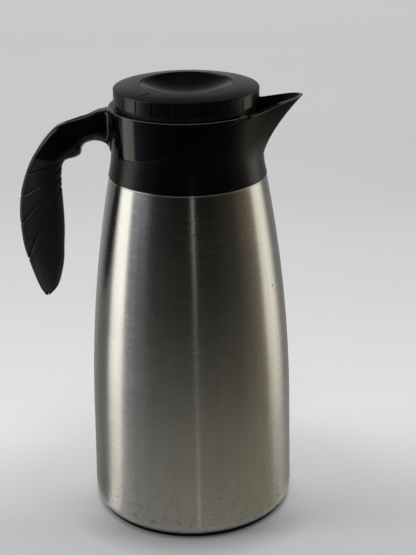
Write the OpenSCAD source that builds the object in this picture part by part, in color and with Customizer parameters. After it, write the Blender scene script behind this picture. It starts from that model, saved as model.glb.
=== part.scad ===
// Thermal carafe: a double-walled steel flask with a moulded pour collar, an arched handle with
// a soft grip, and a twist lid that lifts a valve in the stopper through a helical cam.
// Millimetres. Origin at the centre of the base on the table, +Z up, spout along +X, handle along -X.

/* [Flask] */
// Radius of the steel body where its straight side ends and the curve begins
belly_r = 68.9; // [65:0.1:72]
// How much wider the body is just above its bottom corner
base_flare = 1.0; // [0:0.1:1.6]
// Height where the straight side ends
belly_z = 75; // [60:1:100]
// Height of the steel body that shows
body_h = 240; // [210:1:270]
// Radius of the bottom corner
corner_r = 8; // [5:0.5:11]
// Thickness of the steel sheet
steel_t = 0.8; // [0.6:0.1:1.2]
// Vacuum gap between the two walls
vacuum_gap = 3.6; // [2.5:0.1:4.5]
// Height of the steel neck above the visible body
neck_h = 26; // [23:0.5:28]
// Radial room between the steel neck and the collar's bore
neck_room = 8.6; // [7.6:0.1:10]
// Thickness of the base disc
base_t = 1.1; // [0.8:0.1:2]

/* [Pour collar] */
// Radius of the collar's straight wall
collar_r = 50.2; // [46:0.1:54]
// Height of the collar from the steel body to its rim
collar_h = 45.5; // [42:0.5:52]
// How far the collar's foot flares past its wall
foot_flare = 2.1; // [1.5:0.1:3]
// How far the foot stands proud of the steel under it
foot_proud = 0.4; // [0:0.1:0.8]
// Height of the flared foot
foot_h = 15; // [10:1:18]
// Thickness of the collar's wall at its foot
collar_wall = 2.4; // [2:0.1:2.8]
// Thickness of the collar's wall beside the stopper
bore_wall = 4.6; // [4.2:0.1:5.2]
// How far the beak reaches past the collar's wall
beak_l = 25.2; // [15:0.1:30]
// How far the beak's tip stands above the rim
beak_h = 5.0; // [2:0.5:8]
// Radius of the beak's nose seen from above
nose_r = 7; // [5:0.5:9]
// Angle of each side of the beak to its middle line
beak_angle = 28.8; // [22:0.2:34]
// Thickness of the beak's wall, measured radially
beak_wall = 2.3; // [1.8:0.1:3]
// Depth of the notch in the rim at each side of the beak
rim_dip = 1.9; // [0:0.1:3]

/* [Handle] */
// How far the handle stands out from the collar's wall
handle_w = 62.1; // [52:0.1:75]
// Height of the handle from the rim down to its tip
handle_h = 129.8; // [115:0.1:150]
// Half width of the arm
arm_half = 9.5; // [8:0.1:11]
// Half width of the grip at its widest
grip_half = 10.5; // [9:0.1:12]
// Thickness of the band where it lies in the collar
band_t = 2.0; // [1.6:0.1:2.2]
// How far the band stands proud of the collar
band_proud = 0.35; // [0.2:0.05:0.6]
// Height of the band at the handle
band_h = 30; // [26:0.5:33]
// Azimuth, from the spout, where the band's tails end
tail_angle = 40; // [34:1:50]
// Half thickness of the core inside the grip
core_half = 4; // [3:0.1:5]
// Width of the grip's grooves
groove_w = 0.9; // [0.6:0.1:1.4]
// Depth of the grip's grooves
groove_d = 0.6; // [0.3:0.1:1]
// Length of the thumb rest
thumb_l = 22; // [16:0.5:24]
// Half width of the thumb rest
thumb_half = 5; // [3:0.1:6]

/* [Lid] */
// How far the lid's side stands in from the collar's wall
lid_inset = 2.8; // [2.2:0.1:3.2]
// Gap between the collar's rim and the lid's skirt
lid_gap = 2.8; // [1.5:0.1:4]
// Height of the lid's fluted side
lid_side = 9.3; // [8:0.1:12]
// Height of the lid's crown from its edge to the dish
lid_crown = 2.4; // [1.5:0.1:4]
// Radius of the dish's rim
dish_r = 29.8; // [26:0.1:34]
// Depth of the dish
dish_depth = 12; // [9:0.1:13.5]
// Number of finger pads round the lid
pad_count = 24; // [16:1:32]
// Width of the groove between two pads
flute_w = 0.8; // [0.5:0.1:1.4]
// Depth of the groove between two pads
flute_d = 0.7; // [0.4:0.1:1]
// Azimuth of the index slot when the valve is shut
index_angle = -132; // [-180:1:-90]

/* [Stopper and valve] */
// Radial gap between the stopper's drum and the collar's bore
drum_gap = 0.7; // [0.5:0.1:1]
// Radial gap between the stopper's plug and the steel neck
plug_gap = 0.9; // [0.6:0.1:1.4]
// Depth of the plug below the collar's seat
plug_depth = 32.6; // [29:0.1:36]
// Radius of the valve's opening
port_r = 11; // [9:0.5:13]
// Angle that the lid turns from shut to open
turn_angle = 90; // [60:5:100]
// Height that the valve rises while the lid turns
valve_rise = 4; // [2.5:0.1:4.5]
// Radius of the valve stem
stem_r = 4.05; // [3.5:0.05:4.5]
// Thickness of the cam sleeve's wall
sleeve_wall = 3.9; // [3:0.1:4.5]
// Radial running clearance of the sleeve on its bearings
run_gap = 0.05; // [0.03:0.01:0.08]
// Radius of the cam pin
pin_r = 1.5; // [1.2:0.1:1.8]
// Clearance of the cam pin in its slots
pin_gap = 0.2; // [0.15:0.01:0.3]

/* [Hidden] */
$fn = 96;
// An overlap that makes a cut run clean through
eps = 0.5;
// A gap between two fixed pieces
fit = 0.1;

// ---- radii, from the collar in and out
base_r = belly_r + base_flare;
foot_r = collar_r + foot_flare;
top_r = foot_r - foot_proud;
rim_r = collar_r + 0.3;
collar_bore = collar_r - bore_wall;
drum_r = collar_bore - drum_gap;
neck_r = collar_bore - neck_room;
liner_r = neck_r - steel_t - 1.1;
bore_r = liner_r - steel_t;
plug_r = bore_r - plug_gap;
lid_r = collar_r - lid_inset;

// ---- heights, from the table up
pan_rise = 3.4;
pan_z = base_t + pan_rise;
liner_floor = pan_z + steel_t + vacuum_gap + fit;
mouth_z = body_h + neck_h;
bead_r = 0.6;
bead_drop = 5;
bead_z = mouth_z - bead_drop;
gasket_t = 2;
neck_ring_t = 2.6;
ledge_z = mouth_z + gasket_t;
ledge_t = 1.8;
seat_z = ledge_z + neck_ring_t;
rim_z = body_h + collar_h;
skirt_z = rim_z + lid_gap;
crease_z = skirt_z + lid_side;
lid_z = crease_z + lid_crown;
web_t = 2.1;
dish_t = 1.4;
well_z = lid_z - dish_depth - dish_t - 0.2;
floor_z = well_z - web_t;
flange_t = 2;
deck_gap = 0.3;
deck_t = 2;
deck_z = floor_z - flange_t - deck_gap - deck_t;
hub_h = 4;
clip_t = 1;
clip_z = deck_z - hub_h - deck_gap - clip_t;
slot_half = pin_r + pin_gap;
pin_z = clip_z - 3 - slot_half - valve_rise;
plug_z = seat_z - plug_depth;
plate_t = 2;
valve_z = plug_z + plate_t;

// ---- the flask's side: a straight taper, then one arc that is tangent to it
taper = (base_r - belly_r) / (belly_z - corner_r - base_t);
side_d = [top_r - belly_r, body_h - belly_z];
side_n = [-1, -taper] / norm([1, taper]);
side_arc = (side_d * side_d) / (2 * (side_d * side_n));
side_c = [belly_r, belly_z] + side_arc * side_n;
function side_r(z) = z < belly_z ? belly_r + (belly_z - z) * taper
    : side_c[0] + sqrt(side_arc * side_arc - pow(z - side_c[1], 2));

// ---- the step and shoulder of the flask, hidden under the collar
step_gap = 0.7;
step_r = foot_r - collar_wall - step_gap;
step_h = 1.5;
shoulder_r = 13;
shoulder_c = [step_r - shoulder_r, body_h + step_h];
wall = steel_t + vacuum_gap;

function lerp(a, b, t) = a + (b - a) * t;
function ease(t) = let (u = min(1, max(0, t))) u * u * (3 - 2 * u);
function soft_max(a, b, k) = (a + b + sqrt((a - b) * (a - b) + k * k)) / 2;

// Catmull-Rom curve through the rows of p at parameter t, in rows
function spline(p, t) =
    let (n = len(p) - 1, i = min(n - 1, floor(t)), f = t - i)
    let (a = p[max(i - 1, 0)], b = p[i], c = p[i + 1], d = p[min(i + 2, n)])
    b + f * 0.5 * ((c - a) + f * ((2 * a - 5 * b + 4 * c - d) + f * (3 * b - a - 3 * c + d)));

// Skin over rings that all have the same number of points; open ends are capped
module skin(rings, closed = false) {
    n = len(rings[0]);
    m = len(rings);
    points = [for (ring = rings) each ring];
    sides = [for (i = [0:(closed ? m : m - 1) - 1], j = [0:n - 1])
        let (a = i * n + j, b = i * n + (j + 1) % n)
        let (c = ((i + 1) % m) * n + (j + 1) % n, d = ((i + 1) % m) * n + j)
        each [[a, b, c], [a, c, d]]];
    caps = closed ? [] : [[for (j = [n - 1:-1:0]) j], [for (j = [0:n - 1]) (m - 1) * n + j]];
    polyhedron(points, concat(sides, caps), convexity = 12);
}

// A ring or tube about the Z axis
module ring(r_out, r_in, z0, z1) {
    rotate_extrude()
        translate([r_in, z0])
            square([r_out - r_in, z1 - z0]);
}

// Half section of all that lies within the flask's wall, drawn in by inset
module flask_section(inset, floor_at, neck) {
    corner = corner_r - min(inset, corner_r - 3);
    low = floor_at + corner;
    low_r = side_r(low) - inset;
    polygon([[0, floor_at], [low_r - corner, floor_at], [low_r - corner, low], [low_r, low],
        [side_r(belly_z) - inset, belly_z], [0, belly_z]]);
    translate([low_r - corner, low])
        intersection() {
            circle(corner);
            translate([-corner, -corner])
                square([2 * corner, corner]);
        }
    intersection() {
        translate(side_c)
            circle(side_arc - inset, $fn = 1440);
        translate([0, belly_z - 0.01])
            square([base_r, body_h - belly_z - inset + 0.01]);
    }
    top = shoulder_c[1];
    translate([0, body_h - 12])
        square([step_r - inset, top - body_h + 12]);
    intersection() {
        translate(shoulder_c)
            circle(shoulder_r - inset);
        translate(shoulder_c)
            square(shoulder_r);
    }
    translate([0, top - 1])
        square([shoulder_c[0], shoulder_r - inset + 1]);
    translate([0, top])
        square([neck, mouth_z - steel_t - top]);
}

// ---- flask
module outer_shell() {
    color("silver")
        rotate_extrude() {
            difference() {
                flask_section(0, base_t + 0.1, neck_r);
                flask_section(steel_t, base_t + 0.1 + steel_t, neck_r - steel_t);
                translate([-eps, 0])
                    square([pan_r + fit + eps, liner_floor - 1]);
                translate([-eps, mouth_z - 2 * steel_t - 2])
                    square([neck_r - steel_t + eps, steel_t + 3]);
            }
            translate([neck_r, bead_z])
                intersection() {
                    circle(bead_r, $fn = 32);
                    translate([-0.2, -bead_r])
                        square(2 * bead_r);
                }
        }
}

// The pressed disc that closes the outer wall, set up inside the base
pan_r = base_r - corner_r - 4;
module shell_bottom() {
    color("silver")
        rotate_extrude() {
            translate([0, pan_z])
                square([pan_r, steel_t]);
            translate([pan_r - steel_t, base_t + 0.1])
                square([steel_t, pan_z - base_t]);
        }
}

module inner_liner() {
    color("silver")
        rotate_extrude() {
            difference() {
                flask_section(wall, liner_floor, liner_r);
                flask_section(wall + steel_t, liner_floor + steel_t, bore_r);
                translate([-eps, mouth_z - 2 * steel_t - 2])
                    square([bore_r + eps, steel_t + 3]);
            }
            translate([bore_r, mouth_z - steel_t])
                square([neck_r - bore_r, steel_t]);
        }
}

// Getter pellet under the liner's floor, in the vacuum
getter_r = 7;
getter_t = 1.4;
module getter() {
    color("dimgray")
        translate([3 * getter_r, 0, liner_floor - getter_t])
            cylinder(r = getter_r, h = getter_t);
}

// Bead of brazing that seals the evacuated shell
seal_bead_r = 5;
seal_bead_t = 0.7;
module vacuum_seal() {
    color("gray")
        translate([0, 0, pan_z - seal_bead_t])
            cylinder(r = seal_bead_r, h = seal_bead_t);
}

module base_pad() {
    boss_r = pan_r - steel_t - fit;
    boss_z = pan_z - 1;
    color([0.1, 0.1, 0.1])
        rotate_extrude()
            difference() {
                union() {
                    square([base_r - corner_r + 4, base_t]);
                    square([boss_r, boss_z]);
                }
                translate([-eps, boss_z - seal_bead_t - fit])
                    square([seal_bead_r + 3 + eps, pan_z - boss_z + seal_bead_t]);
            }
}

// ---- neck
module neck_gasket() {
    color("lightgray")
        ring(neck_r, bore_r + 0.3, mouth_z, mouth_z + gasket_t);
}

// Moulded ring that hooks under the neck's bead and holds the collar's ledge down
hook_t = 2.5;
module neck_ring() {
    hook_in = neck_r + fit;
    hook_z = bead_z - hook_t;
    color([0.16, 0.16, 0.16])
        rotate_extrude()
            difference() {
                union() {
                    translate([bore_r + 0.3, ledge_z])
                        square([drum_r - bore_r - 0.3, neck_ring_t]);
                    translate([hook_in, hook_z])
                        square([hook_t, seat_z - hook_z]);
                }
                translate([neck_r, bead_z])
                    circle(bead_r + 0.3, $fn = 32);
            }
}

// ---- pour collar
tip_r = rim_r + beak_l;
tip_z = rim_z + beak_h;

// Outer radius of the round wall at height z
function wall_r(z) = collar_r + (rim_r - collar_r) * max(0, z - body_h - foot_h) / (collar_h - foot_h)
    + foot_flare * pow(max(0, 1 - (z - body_h) / foot_h), 1.6);

// Plan of the beak: a wedge with a round nose, as a radius in direction a
function beak_plan(a) =
    let (d = tip_r - nose_r, b = 90 - beak_angle, u = abs(a))
    let (turn = atan2(nose_r * sin(b), d + nose_r * cos(b)))
    u < turn ? d * cos(u) + sqrt(pow(nose_r, 2) - pow(d * sin(u), 2))
        : (d * cos(b) + nose_r) / cos(min(u, b) - b);

// Share of the beak's reach in direction a: 1 at the tip, 0 on the round wall
beak_blend = 1.6;
beak_span = 60;
function beak_share(a) =
    abs(a) > beak_span ? 0 : ease((beak_span - abs(a)) / 25)
        * (soft_max(beak_plan(a), rim_r, beak_blend) - rim_r)
        / (soft_max(tip_r, rim_r, beak_blend) - rim_r);

// Share of the reach that the keel has at height z: none at the waist, all at the tip
keel_low = body_h + 0.8 * foot_h;
function keel_share(z) =
    pow(max(0, (z - keel_low) / (tip_z - keel_low)), 1.44);

// Height of the rim in direction a: it dips beside the beak and climbs to the tip
dip_span = 46;
function rim_at(a) =
    let (climb = pow(sin(90 * pow(beak_share(a), 0.76)), 2))
    rim_z - rim_dip * ease((dip_span - abs(a)) / 22) + (rim_dip + beak_h) * climb;

function outer_at(a, z) = wall_r(z) + (tip_r - wall_r(z)) * beak_share(a) * keel_share(z);
function inner_at(a, z) =
    collar_bore + max(0, tip_r - beak_wall - collar_bore) * beak_share(a)
        * max(0, keel_share(z) - 0.02);

// Lower edge of the band: level at the handle, rising to the rim at its tails
tail_h = 1.2;
function seam_at(a) =
    let (u = min(1, (180 - abs(a)) / (180 - tail_angle)))
    let (climb = 0.12 * u + 0.88 * pow(sin(90 * pow(u, 1.8)), 2))
    min(rim_at(a) - tail_h, rim_z - band_h + (band_h - tail_h) * climb);
function recess_at(a) = band_t * ease((abs(a) - tail_angle + 2) / 6);

// Directions in which the collar is cut: close together round the beak
beak_end = 18;
side_end = 44;
beak_steps = [for (i = [0:11]) lerp(0, beak_end, i / 12)];
side_steps = [for (i = [0:10]) lerp(beak_end, side_end, i / 10)];
back_steps = [for (i = [1:18]) lerp(side_end, 180, i / 18)];
half_steps = concat(beak_steps, side_steps, back_steps);
all_steps = concat(half_steps, [for (i = [len(half_steps) - 2:-1:1]) -half_steps[i]]);

function at(r, z, a) = [r * cos(a), r * sin(a), z];

// One cut through the collar's wall, in direction a
function collar_cut(a) =
    let (top = rim_at(a), seam = seam_at(a), deep = recess_at(a))
    let (low_in = foot_r - collar_wall, ledge_in = neck_r + fit + hook_t + 0.9, pocket = drum_r + 0.3)
    concat(
        [at(low_in, body_h, a), at(foot_r - 0.6, body_h, a), at(foot_r, body_h + 0.7, a)],
        [for (t = [0.1, 0.3, 0.55, 0.8, 1]) let (z = lerp(body_h + 1, seam, t))
            at(outer_at(a, z), z, a)],
        [for (t = [0, 0.2, 0.4, 0.6, 0.8, 0.92]) let (z = lerp(seam + 0.35, top - 0.5, t))
            at(outer_at(a, z) - deep, z, a)],
        [at(outer_at(a, top) - deep - 0.1, top - 0.35, a)],
        [at(outer_at(a, top) - deep - 0.55, top, a)],
        [at(inner_at(a, top) + 0.35, top, a), at(inner_at(a, top), top - 0.4, a)],
        [for (t = [0.8, 0.6, 0.4, 0.2, 0]) let (z = lerp(seat_z, top - 0.4, t))
            at(inner_at(a, z), z, a)],
        [at(pocket, seat_z, a), at(pocket, ledge_z, a)],
        [at(ledge_in, ledge_z, a), at(ledge_in, ledge_z - ledge_t, a)],
        [at(collar_bore, ledge_z - ledge_t, a)],
        [at(collar_bore, shoulder_c[1] + shoulder_r + 1.5, a)],
        [for (turn = [42, 25]) let (p = shoulder_c + (shoulder_r + 0.9) * [cos(turn), sin(turn)])
            at(p[0], p[1], a)],
        [at(low_in, body_h + step_h + 1, a)]
    );

screw_r = 1.5;
head_r = 2.4;
head_t = 1.6;
screw_y = 4;
screw_z = ledge_z - ledge_t - head_r - 0.2;
screw_end = collar_r + 4;
// Where the flat screw heads meet the round bore
head_x = sqrt(pow(collar_bore - 0.15, 2) - pow(screw_y + head_r, 2));
module pour_collar() {
    color([0.11, 0.11, 0.115])
        difference() {
            skin([for (a = all_steps) collar_cut(a)], closed = true);
            for (side = [-1, 1])
                screw_shank(side, screw_r + fit, head_x - head_t, rim_r + eps);
        }
}

// One screw's shank, or its hole, between two distances from the axis
module screw_shank(side, r, x0, x1) {
    translate([-x0, side * screw_y, screw_z])
        rotate([0, -90, 0])
            cylinder(r = r, h = x1 - x0);
}

// ---- handle
// Rows down the handle: outer line and inner line as [out from the band, down from the rim],
// then the half widths at the outer line and in the middle, as shares of the row's width
arm_rows = [
    [-3.6, 0.8, -3.6, 30.4, 1.1, 1.4], [-0.2, 1.4, -0.6, 29.6, 0.8, 1.15],
    [3.4, 2.2, 4.2, 24.0, 0.66, 1.0], [8.2, 3.2, 10.0, 23.0, 0.55, 1.0],
    [14.6, 6.2, 15.6, 24.3, 0.5, 1.0], [22.0, 8.5, 18.6, 27.3, 0.48, 1.0],
    [29.6, 10.8, 19.6, 31.4, 0.48, 1.0], [36.4, 14.3, 21.6, 33.2, 0.5, 1.0],
    [44.2, 22.6, 24.4, 34.2, 0.52, 1.0], [51.3, 33.0, 27.2, 34.4, 0.52, 1.0]
];
grip_rows = [
    [51.3, 33.0, 27.2, 34.4, 0.52, 0.92], [54.6, 39.4, 31.4, 37.4, 0.5, 0.94],
    [57.4, 46.5, 33.1, 44.0, 0.5, 0.97], [60.4, 57.0, 33.5, 55.0, 0.5, 1.0],
    [62.1, 70.5, 33.1, 70.0, 0.5, 1.0], [61.9, 83.0, 33.1, 83.0, 0.5, 1.0],
    [60.6, 95.5, 33.9, 95.0, 0.5, 0.98], [57.4, 107.5, 34.7, 106.5, 0.48, 0.93],
    [54.0, 117.5, 36.9, 117.0, 0.46, 0.82], [50.8, 125.0, 40.4, 124.6, 0.44, 0.62],
    [48.6, 128.6, 43.6, 128.4, 0.48, 0.4], [47.4, 129.7, 45.6, 129.7, 0.5, 0.16]
];
out_unit = handle_w / 62.1;
down_unit = handle_h / 129.8;
function handle_x(out) = -(collar_r + out * out_unit);
function handle_z(down) = rim_z - down * down_unit;

// Half section of a row: flat back, full sides, round inner edge
section_shape = [
    [1.0, 0.5], [0.965, 0.98], [0.87, 1.32], [0.68, 1.7], [0.48, 1.9],
    [0.3, 1.82], [0.14, 1.4], [0.04, 0.8], [0, 0.25]
];
function half_width(s, back, middle) = s < 1 ? s * back : lerp(back, middle, (s - 1) / 0.9);

// Points of one row, shrunk towards its middle by inset millimetres
function row_ring(row, half, inset) =
    let (o = [handle_x(row[0]), handle_z(row[1])], i = [handle_x(row[2]), handle_z(row[3])])
    let (dir = (o - i) / norm(o - i), o2 = o - dir * inset, i2 = i + dir * inset)
    let (left = [for (s = section_shape)
        let (p = lerp(i2, o2, s[0]), w = half_width(s[1], row[4], row[5]) * half)
        [p[0], -max(0.05, w - inset), p[1]]])
    concat(left, [for (k = [len(left) - 1:-1:0]) [left[k][0], -left[k][1], left[k][2]]]);

module handle_loft(rows, steps, half_a, half_b, inset = 0) {
    last = len(rows) - 1;
    skin([for (k = [0:steps])
        row_ring(spline(rows, last * k / steps), lerp(half_a, half_b, k / steps), inset)]);
}

// One cut through the band, in direction a
seam_gap = 0.4;
function band_cut(a) =
    let (low = seam_at(a) + seam_gap, top = rim_at(a), deep = recess_at(a) - fit)
    concat(
        [at(wall_r(low) + band_proud - 0.2, low, a)],
        [for (t = [0, 0.25, 0.5, 0.75, 1]) let (z = lerp(low + 0.2, top - 0.5, t))
            at(wall_r(z) + band_proud, z, a)],
        [at(wall_r(top) + band_proud - 0.5, top, a), at(wall_r(top) - deep, top, a)],
        [for (t = [1, 0.75, 0.5, 0.25, 0]) let (z = lerp(low, top - 0.5, t))
            at(wall_r(z) - deep, z, a)]
    );

// Core of the handle inside the grip, as a flat blade that follows the grip's middle
core_rows = [
    [49.5, 29.5, 31.0, 32.0], [52.5, 40, 36.5, 40], [55.0, 55, 40.0, 55], [56.5, 75, 40.5, 75],
    [54.5, 95, 41.5, 95], [50.5, 108, 44.0, 108]
];
module core_blade(grow = 0) {
    steps = 15;
    rows = [for (k = [0:steps]) spline(core_rows, (len(core_rows) - 1) * k / steps)];
    translate([0, core_half + grow, 0])
        rotate([90, 0, 0])
            linear_extrude(2 * (core_half + grow))
                polygon(concat(
                    [for (r = rows) [handle_x(r[0] + grow), handle_z(r[1])]],
                    [for (k = [steps:-1:0]) let (r = rows[k])
                        [handle_x(r[2] - grow), handle_z(r[3])]]
                ));
}

module handle_frame() {
    span = 179 - tail_angle;
    cuts = 24;
    color([0.06, 0.06, 0.065]) {
        difference() {
            union() {
                skin([for (k = [-cuts:cuts]) band_cut((k > 0 ? -180 : 180) + span * k / cuts)]);
                difference() {
                    handle_loft(arm_rows, 27, arm_half, arm_half);
                    cylinder_at(rim_r - band_t + fit, body_h, tip_z);
                    cylinder_at(rim_r + fit, body_h, rim_z - band_h + seam_gap);
                }
            }
            thumb_block(0);
            for (side = [-1, 1])
                screw_shank(side, screw_r, collar_bore, screw_end);
        }
        core_blade();
    }
}

// Lens-shaped seat of the thumb rest on the arm's back
thumb_mid = [handle_x(19.3), handle_z(7.4)];
thumb_tilt = 17;
thumb_t = 1.2;
module thumb_block(shrink) {
    arc_r = (pow(thumb_l / 2, 2) + pow(thumb_half, 2)) / (2 * thumb_half);
    translate([thumb_mid[0], 0, thumb_mid[1]])
        rotate([0, -thumb_tilt, 0])
            translate([0, 0, -thumb_t])
                linear_extrude(thumb_t + 3 * (1 - sign(shrink)))
                    intersection_for (side = [-1, 1])
                        translate([0, side * (arc_r - thumb_half)])
                            circle(arc_r - shrink);
}

module thumb_pad() {
    rib = 0.5;
    color([0.2, 0.2, 0.2])
        difference() {
            thumb_block(fit);
            translate([thumb_mid[0], 0, thumb_mid[1]])
                rotate([0, -thumb_tilt, 0])
                    for (k = [-9:9])
                        translate([k * 2 * rib, -thumb_half, -0.3])
                            cube([rib, 2 * thumb_half, 1]);
        }
}

// Grooves that fan out over the grip from the top of its inner side: start, middle and end
grooves = [
    [[30.5, 35.8], [37.5, 37.6], [57.5, 44.5]],
    [[31.8, 40.2], [45.0, 49.8], [61.5, 60.0]],
    [[32.0, 46.2], [46.8, 61.0], [62.6, 80.0]],
    [[32.8, 53.8], [46.4, 76.0], [58.4, 104.5]]
];
module groove(g) {
    steps = 8;
    curve = [for (k = [0:steps]) let (t = k / steps)
        g[0] * (1 - t) * (1 - t) + (4 * g[1] - g[0] - g[2]) * t * (1 - t) + g[2] * t * t];
    points = [for (p = curve) [handle_x(p[0]), handle_z(p[1])]];
    along = points[steps] - points[0];
    side = [-along[1], along[0]] / norm(along) * groove_w / 2;
    translate([0, 2 * grip_half, 0])
        rotate([90, 0, 0])
            linear_extrude(4 * grip_half)
                polygon(concat(
                    [for (p = points) p + side], [for (k = [steps:-1:0]) points[k] - side]));
}

module handle_grip() {
    color([0.19, 0.185, 0.18])
        difference() {
            handle_loft(grip_rows, 30, arm_half, grip_half);
            core_blade(0.05);
            difference() {
                union()
                    for (g = grooves)
                        groove(g);
                handle_loft(grip_rows, 30, arm_half, grip_half, groove_d);
            }
        }
}

module handle_screws() {
    color("dimgray")
        for (side = [-1, 1]) {
            screw_shank(side, screw_r, head_x, screw_end);
            screw_shank(side, head_r, head_x - head_t, head_x);
        }
}

// ---- stopper
plug_wall = 2;
flange_z = seat_z + 0.6;
rib_t = 2.2;
drum_wall = 1.8;
sleeve_r = stem_r + run_gap + sleeve_wall;
guide_r = sleeve_r + 0.5;
guide_t = 2;
valve_seal_t = 1.2;
valve_disc_t = 2;
valve_top = valve_z + valve_seal_t + valve_disc_t;
guide_low = valve_top + valve_rise + 1.6;
window_half = 18;
flange_seal_r = plug_r + 2;
flange_seal_w = 3;
seal_z = mouth_z - 12;
seal_h = 4;
seal_in = 1;
module stopper_cup() {
    guide_top = pin_z + valve_rise + slot_half + 1.3;
    window_z = flange_z + rib_t;
    color([0.14, 0.14, 0.14])
        difference() {
            union() {
                rotate_extrude() {
                    translate([port_r, plug_z])
                        square([plug_r - port_r, plate_t]);
                    difference() {
                        translate([plug_r - plug_wall, plug_z])
                            square([plug_wall, window_z - plug_z]);
                        translate([plug_r - seal_in, seal_z])
                            square([seal_in + eps, seal_h]);
                    }
                    difference() {
                        translate([plug_r - plug_wall, flange_z])
                            square([drum_r - plug_r + plug_wall, rib_t]);
                        translate([flange_seal_r, flange_z - 1])
                            square([flange_seal_w, 1.8]);
                    }
                    translate([drum_r - drum_wall, flange_z])
                        square([drum_wall, deck_z - flange_z]);
                }
                ring(guide_r + guide_t, guide_r, guide_low, guide_top);
                ring(guide_r + guide_t, stem_r + 0.3, guide_low, guide_low + 2);
                for (k = [0:2])
                    rotate(60 + 120 * k)
                        translate([guide_r + guide_t / 2, -1.5, guide_low])
                            cube([plug_r - plug_wall / 2 - guide_r - guide_t / 2, 3, 4]);
            }
            translate([drum_r - 5, -window_half, window_z])
                cube([10, 2 * window_half, deck_z - window_z - 1]);
            translate([-guide_r - 5, -slot_half, pin_z - slot_half])
                cube([2 * guide_r + 10, 2 * slot_half, guide_top - pin_z + 5]);
        }
}

module stopper_deck() {
    ring_r = lid_r - skirt_t - 0.3;
    color([0.1, 0.1, 0.1])
        difference() {
            union() {
                cylinder_at(drum_r, deck_z, deck_z + deck_t);
                cylinder_at(sleeve_r + 3, deck_z - hub_h, deck_z + eps);
                ring(ring_r, ring_r - 2, deck_z, crease_z - 5.5);
            }
            cylinder_at(sleeve_r + run_gap, deck_z - hub_h - eps, deck_z + deck_t + eps);
        }
}

module cylinder_at(r, z0, z1) {
    translate([0, 0, z0])
        cylinder(r = r, h = z1 - z0);
}

// Lipped ring that wipes the steel neck
module stopper_seal() {
    color("lightgray")
        ring(bore_r - 0.08, plug_r - seal_in, seal_z, seal_z + seal_h);
}

module flange_seal() {
    color("lightgray")
        ring(flange_seal_r + flange_seal_w, flange_seal_r, seat_z, flange_z + 0.8);
}

// ---- valve
boss_t = 2;
stem_base = valve_z + valve_seal_t + 0.8;
module valve_disc() {
    color("silver")
        difference() {
            union() {
                cylinder_at(port_r + 4, valve_z + valve_seal_t, valve_top);
                cylinder_at(stem_r + boss_t, stem_base, valve_top + 1.4);
            }
            cylinder_at(stem_r, stem_base, valve_top + 3);
        }
}

module valve_seal() {
    color("lightgray")
        ring(port_r + 4, port_r - 1, valve_z, valve_z + valve_seal_t);
}

module valve_stem() {
    color("silver")
        difference() {
            cylinder_at(stem_r, stem_base, clip_z + 0.3);
            cam_pin(pin_r, pin_z, 10 * pin_r);
        }
}

// A pin through the stem, at height z
module cam_pin(r, z, half) {
    translate([0, 0, z])
        rotate([90, 0, 90])
            cylinder(r = r, h = 2 * half, center = true);
}

module valve_pin() {
    color("silver")
        cam_pin(pin_r, pin_z, guide_r + guide_t - 0.6);
}

// ---- lid
// The sleeve that hangs under the lid: each cam slot is one pin hole swept up along a helix
cam_steps = 12;
clip_groove = 0.9;
sleeve_low = pin_z - slot_half - 2.8;
module cam_sleeve() {
    color("white")
        difference() {
            union() {
                cylinder_at(sleeve_r, sleeve_low, floor_z);
                cylinder_at(screw_pcd + 2.7, floor_z - flange_t, floor_z);
            }
            cylinder_at(stem_r + run_gap, sleeve_low - eps, floor_z + eps);
            difference() {
                cylinder_at(sleeve_r + 1, clip_z, clip_z + clip_t);
                cylinder_at(sleeve_r - clip_groove, clip_z - 1, clip_z + clip_t + 1);
            }
            for (k = [0:cam_steps])
                rotate(-turn_angle * k / cam_steps)
                    cam_pin(slot_half, pin_z + valve_rise * k / cam_steps, 1.5 * sleeve_r);
            screw_ring(screw_hole, floor_z - flange_t - 1, floor_z + 1);
        }
}

module sleeve_clip() {
    color("gray")
        ring(sleeve_r + 2.4, sleeve_r - clip_groove, clip_z, clip_z + clip_t);
}

screw_pcd = sleeve_r + 2.5;
lid_screw_r = 1.2;
screw_hole = lid_screw_r + 0.05;
module screw_ring(r, z0, z1) {
    for (k = [0:2])
        rotate(30 + 120 * k)
            translate([screw_pcd, 0, z0])
                cylinder(r = r, h = z1 - z0);
}

module lid_screws() {
    color("gray") {
        screw_ring(lid_screw_r, floor_z - flange_t + 0.3, well_z + 0.2);
        screw_ring(2.1, well_z, well_z + 1);
    }
}

crown_edge = 0.9;
well_t = 2;
skirt_t = 2.4;
module lid_section() {
    edge_r = lid_r - crown_edge;
    skirt_in = lid_r - skirt_t;
    polygon([[0, floor_z], [dish_r + well_t, floor_z], [dish_r + well_t, crease_z - 0.6],
        [skirt_in, crease_z - 2.8], [skirt_in, skirt_z], [lid_r, skirt_z],
        [lid_r, crease_z - crown_edge], [edge_r, crease_z], [dish_r + 0.5, lid_z],
        [dish_r + 0.1, lid_z - 0.2], [dish_r + 0.1, well_z], [0, well_z]]);
    translate([edge_r, crease_z - crown_edge])
        circle(crown_edge, $fn = 32);
}

module lid_cap() {
    pitch = 360 / pad_count;
    slot_l = 7.5;
    slot_w = 1;
    color([0.17, 0.17, 0.165])
        difference() {
            rotate_extrude()
                lid_section();
            for (k = [0:pad_count - 1])
                rotate(index_angle + pitch * k)
                    translate([lid_r - flute_d, -flute_w / 2, skirt_z - 1])
                        cube([3, flute_w, lid_side + 0.2 - crown_edge]);
            rotate(index_angle)
                translate([(dish_r + lid_r - slot_l) / 2 - 1, 0, crease_z + lid_crown / 2])
                    rotate([0, atan2(lid_crown, lid_r - dish_r - 1), 0])
                        translate([0, -slot_w / 2, -0.5])
                            cube([slot_l, slot_w, 3]);
            screw_ring(screw_hole, floor_z - 1, well_z + 1);
        }
}

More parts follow.
